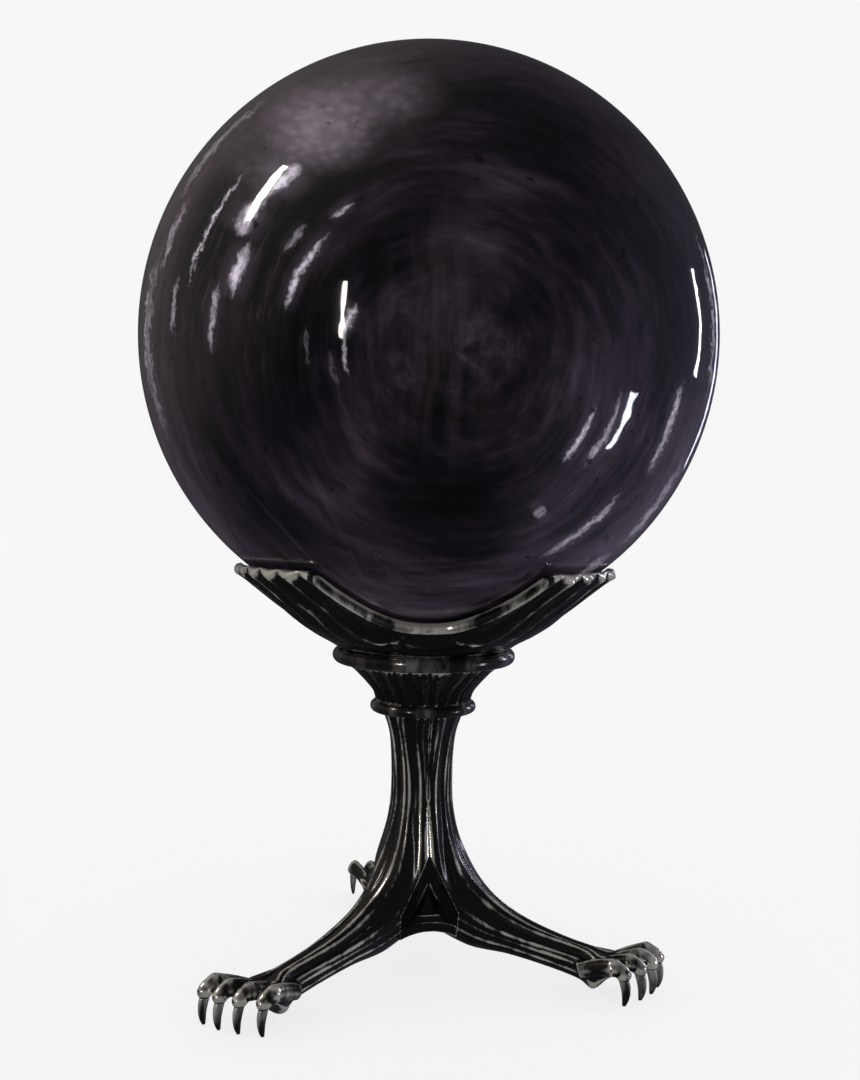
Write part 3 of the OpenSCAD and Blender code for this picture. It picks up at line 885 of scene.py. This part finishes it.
def web_tools(side, grow):
    """The block and the rail of a web, grown a little where they cut its seat in a leg."""

    def arch(r, half):
        return [(r * sind(t), ARCH_Z - ARCH_R + r * cosd(t))
                for t in np.linspace(-half, half, 25)]

    low = arch(ARCH_R - grow, math.degrees(math.asin((WEB_HALF + grow) / (ARCH_R - grow))))
    block = low + [(WEB_HALF + grow, ARCH_Z + RAIL_T / 2), (0, WEB_TOP + 3 * grow),
                   (-WEB_HALF - grow, ARCH_Z + RAIL_T / 2)]
    high = arch(ARCH_R + RAIL_T + grow,
                math.degrees(math.asin((WEB_HALF + grow) / (ARCH_R + RAIL_T + grow))))
    rail = low + high[::-1]
    return [turned(prism(block, WEB_X0 - grow, WEB_X1 + grow), side),
            turned(prism(rail, WEB_X0 - grow, WEB_X1 + RAIL_PROUD + grow), side)]


def leg_master():
    """A leg along +X: its third of the stem, the limb, four toes, and the cuts for other pieces."""
    fine = 12
    rings = [leg_ring(through(LEG, k / fine), 168, k / fine) for k in range(fine * (len(LEG) - 1) + 1)]
    for ring in rings:
        for i, (x, y, z) in enumerate(ring):
            if abs(y) > x * math.tan(math.radians(SECTOR)) and x < 30:
                lim = max(x, 0.02) * math.tan(math.radians(SECTOR))
                ring[i] = (x, math.copysign(min(abs(y), lim), y), z)
    neck = [[(0.2, 0, z)] + [(NECK_R * cosd(t), NECK_R * sind(t), z)
            for t in np.linspace(-SECTOR, SECTOR, 32)] for z in (STEM_Z - 8, CAPITAL_Z0 + NECK_UP)]
    body = join([skin("leg_master", rings), skin("neck", neck)] + [toe(n) for n in (1, 2, 3, 4)])
    relax(remesh(body, 0.24), 0.4, 2)
    tools = [bore(ROD_R + FIT, -1, 100), bore(HUB_R + FIT, -1, HUB_Z1 + 0.05)]
    ring = [(KEY_R0 - FIT, HUB_Z1 - 1), (KEY_R1 + FIT, HUB_Z1 - 1),
            (KEY_R1 + FIT, HUB_Z1 + KEY_UP + 0.2), (KEY_R0 - FIT, HUB_Z1 + KEY_UP + 0.2)]
    tools.append(lathe("tool", ring, 64))
    for side in (-60, 60):
        tools += web_tools(side, 0.05)
        window = [(0, WEB_TOP - 1), (-WINDOW_HALF, WINDOW_Z), (-WINDOW_HALF, ARCH_Z),
                  (WINDOW_HALF, ARCH_Z), (WINDOW_HALF, WINDOW_Z)]
        tools.append(turned(prism(window, WEB_X1 + 0.05, 2.5 * WEB_X1), side))
    for n in (1, 2, 3, 4):
        tools.append(bore(TANG_R + 0.02, TOE_END_Z - 2, TOE_END_Z + TANG_UP + 0.1,
                          TOE_X + toe_set(n), toe_side(n), 24))
    cut(body, tools)
    mark_ridges(body, 2)
    return body


def claw_master():
    """A curved claw with a blunt tip at z = 0 and a round tang at the top."""
    rings = [[(TANG_R * cosd(15 * i), -TANG_R * sind(15 * i), z) for i in range(24)]
             for z in (TOE_END_Z + TANG_UP, TOE_END_Z - 0.02)]
    for k in range(8 * (len(CLAW) - 1) + 1):
        s = through(CLAW, k / 8)
        r = mix(CLAW_TIP_R, CLAW_R, s[2])
        z = 0 if k == 8 * (len(CLAW) - 1) else s[1] * TOE_END_Z
        rings.append([(s[0] + r * (1 + 0.08 * cosd(30 * i)) * cosd(15 * i),
                       -0.86 * r * sind(15 * i), z) for i in range(24)])
    obj = skin("claw_master", rings)
    mark_ridges(obj, 2)
    return obj


def copy_of(master, name, matrix):
    obj = bpy.data.objects.new(name, master.data.copy())
    obj.data.transform(matrix)
    bpy.context.scene.collection.objects.link(obj)
    return obj


leg0, claw0 = leg_master(), claw_master()
for word, az, hand in (("left", LEG_TURN - 120, -1), ("right", LEG_TURN, 1), ("back", LEG_TURN + 120, 1)):
    turn = Matrix.Rotation(math.radians(az), 4, "Z")
    leg = copy_of(leg0, f"{word}_leg_fine", turn @ Matrix.Scale(hand, 4, (0, 1, 0)))
    if hand < 0:
        leg.data.flip_normals()
    piece(leg, "stand", [f"{word}_leg"], IRON, 60)
    for n in (1, 2, 3, 4):
        at = turn @ Matrix.Translation(Vector((TOE_X + toe_set(n, hand), toe_side(n), 0)) * MM)
        piece(copy_of(claw0, f"{word}_claw_{n}_fine", at), "stand", [f"{word}_claw_{n}"],
              CLAW_IRON, 50)
bpy.data.objects.remove(leg0)
bpy.data.objects.remove(claw0)


# ---- webs ----
def web(word, az):
    block = weld(*web_tools(0, 0))
    foot = ARCH_Z + RAIL_T + PANEL_UP
    cut(block, [prism([(0, PANEL_TOP), (-PANEL_HALF, foot), (PANEL_HALF, foot)],
                      WEB_X1 - WEB_RECESS, WEB_X1 + 4)])
    soft_edges(block, 0.35)
    obj = relax(remesh(block, 0.16), 0.5, 3)
    obj.name = f"{word}_web_fine"
    mark_ridges(obj, 3, 0.5, 0.0)
    piece(turned(obj, az), "stand", [f"{word}_web"], IRON, 60)


for word, az in (("front", LEG_TURN - 60), ("right", LEG_TURN + 60), ("left", LEG_TURN + 180)):
    web(word, az)


# ---- hidden hardware keeps its CAD shape ----
for node, mat in (("base_hub", RING_IRON), ("tie_rod", STEEL), ("bottom_washer", STEEL),
                  ("bottom_nut", STEEL), ("top_washer", STEEL), ("top_nut", STEEL)):
    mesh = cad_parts[node].data
    mesh.materials.clear()
    mesh.materials.append(mat)


# ---- studio ----
def studio():
    """A pale floor in a soft, even light, with narrow lamps for the reflections."""
    bm = bmesh.new()
    bmesh.ops.create_circle(bm, cap_ends=True, segments=96, radius=6.0)
    floor = from_bmesh("floor", bm)
    n = Nodes(bpy.data.materials.new("pale_floor"))
    n.shader.inputs["Base Color"].default_value = (0.16, 0.16, 0.16, 1)
    n.shader.inputs["Emission Color"].default_value = (0.775, 0.775, 0.775, 1)
    n.shader.inputs["Emission Strength"].default_value = 1.0
    n.shader.inputs["Specular IOR Level"].default_value = 0.0
    n.shader.inputs["Roughness"].default_value = 0.9
    floor.data.materials.append(n.owner)
    floor.visible_glossy = False
    world = bpy.data.worlds.new("studio")
    bpy.context.scene.world = world
    n = Nodes(world)
    path = n.add("ShaderNodeLightPath")
    aim = n.add("ShaderNodeTexCoord").outputs["Generated"]

    def wall(direction, start, end):
        """Share of a soft wall of light that fills one side of the room."""
        facing = n.add("ShaderNodeVectorMath", operation="DOT_PRODUCT")
        n.link(aim, facing.inputs[0])
        facing.inputs[1].default_value = Vector(direction).normalized()
        return n.fade(facing.outputs["Value"], start, end)

    room = n.blend(wall((-0.8, 0.15, 0.6), 0.35, 0.97), (0.045, 0.041, 0.05), (0.2, 0.178, 0.165))
    room = n.blend(wall((0.85, 0.25, -0.25), 0.45, 0.98), room, (0.11, 0.105, 0.15))
    # mirrors see the dim room, surfaces are lit by an even white, and the camera sees a pale wall
    room = n.blend(path.outputs["Is Glossy Ray"], (1.0, 1.0, 1.0), room)
    room = n.blend(path.outputs["Is Camera Ray"], room, (0.93, 0.93, 0.93))
    n.link(room, n.tree.nodes["Background"].inputs["Color"])

    def strip(name, place, width, height, glow, tint):
        """A narrow lamp seen only as a reflection, aimed at the middle of the object."""
        data = bpy.data.lights.new(name, "AREA")
        data.shape, data.size, data.size_y = "RECTANGLE", width, height
        data.energy, data.color = glow * math.pi * width * height, tint
        obj = bpy.data.objects.new(name, data)
        bpy.context.scene.collection.objects.link(obj)
        obj.location = place
        obj.rotation_mode = "QUATERNION"
        aim = Vector((0, 0, 0.12)) - Vector(place)
        obj.rotation_quaternion = aim.to_track_quat("-Z", "Y")
        obj.visible_diffuse = False
        obj.visible_camera = False

    strip("warm_key", (-0.73, -0.16, 0.80), 0.05, 0.3, 48, (1.0, 0.93, 0.82))
    strip("cool_side", (0.62, 0.95, 0.26), 0.06, 0.5, 3, (0.8, 0.8, 1.0))
    strip("warm_low", (-0.48, -0.85, 0.24), 0.025, 0.3, 48, (1.0, 0.95, 0.88))
    strip("cool_front", (1.0, 0.62, 0.35), 0.035, 0.4, 26, (0.8, 0.82, 1.0))
    strip("cool_low", (0.27, -0.07, 0.055), 0.012, 0.09, 24, (0.82, 0.84, 1.0))


studio()
bpy.context.scene.view_settings.view_transform = "Standard"
